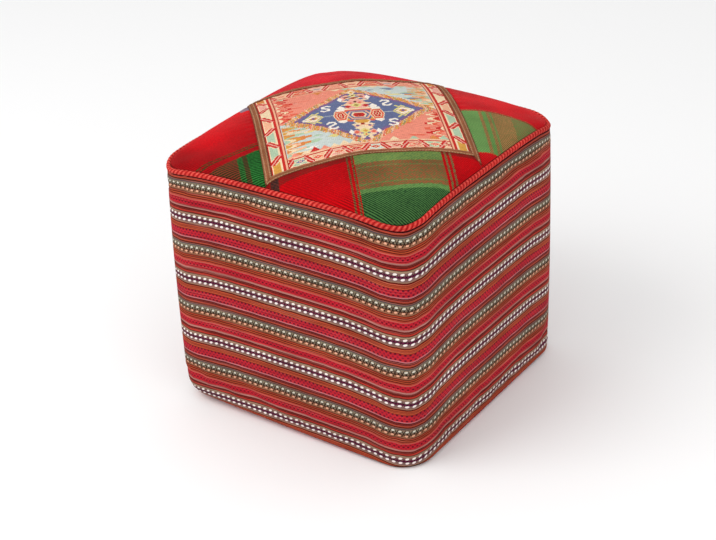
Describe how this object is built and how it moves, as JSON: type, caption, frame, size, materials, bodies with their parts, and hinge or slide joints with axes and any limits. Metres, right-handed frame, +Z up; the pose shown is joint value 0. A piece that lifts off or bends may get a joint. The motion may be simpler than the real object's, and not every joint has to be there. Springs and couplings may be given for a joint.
{
  "type": "kilim pouf",
  "caption": "Square filled pouf with woven striped sides, a domed patchwork top set on point, and a corded seam round its top edge.",
  "frame": {"origin": "on the floor under the middle of the pouf", "axes": "+Z up; the -Y side and the +X side meet at the corner nearest the viewer"},
  "size_m": [0.404, 0.404, 0.4022],
  "materials": {
    "striped_cloth": "coarse warp-faced weave in crimson, rust, maroon and cream stripes",
    "base_cloth": "plain dark cotton",
    "piping": "coral red twisted cord covering",
    "kilim_weave": "flat-woven wool in salmon, slate blue, gold and cream",
    "frame_tape": "brown woven tape",
    "plaid_cloth": "wool twill in a red and green plaid"
  },
  "bodies": {
    "root": {"striped_body": "striped_cloth", "base_panel": "base_cloth", "top_piping": "piping", "kilim_panel": "kilim_weave", "frame_tape_right": "frame_tape", "frame_tape_back": "frame_tape", "frame_tape_left": "frame_tape", "frame_tape_front": "frame_tape", "plaid_corner_right": "plaid_cloth", "plaid_corner_back": "plaid_cloth", "plaid_corner_left": "plaid_cloth", "plaid_corner_front": "plaid_cloth"}
  },
  "joints": []
}
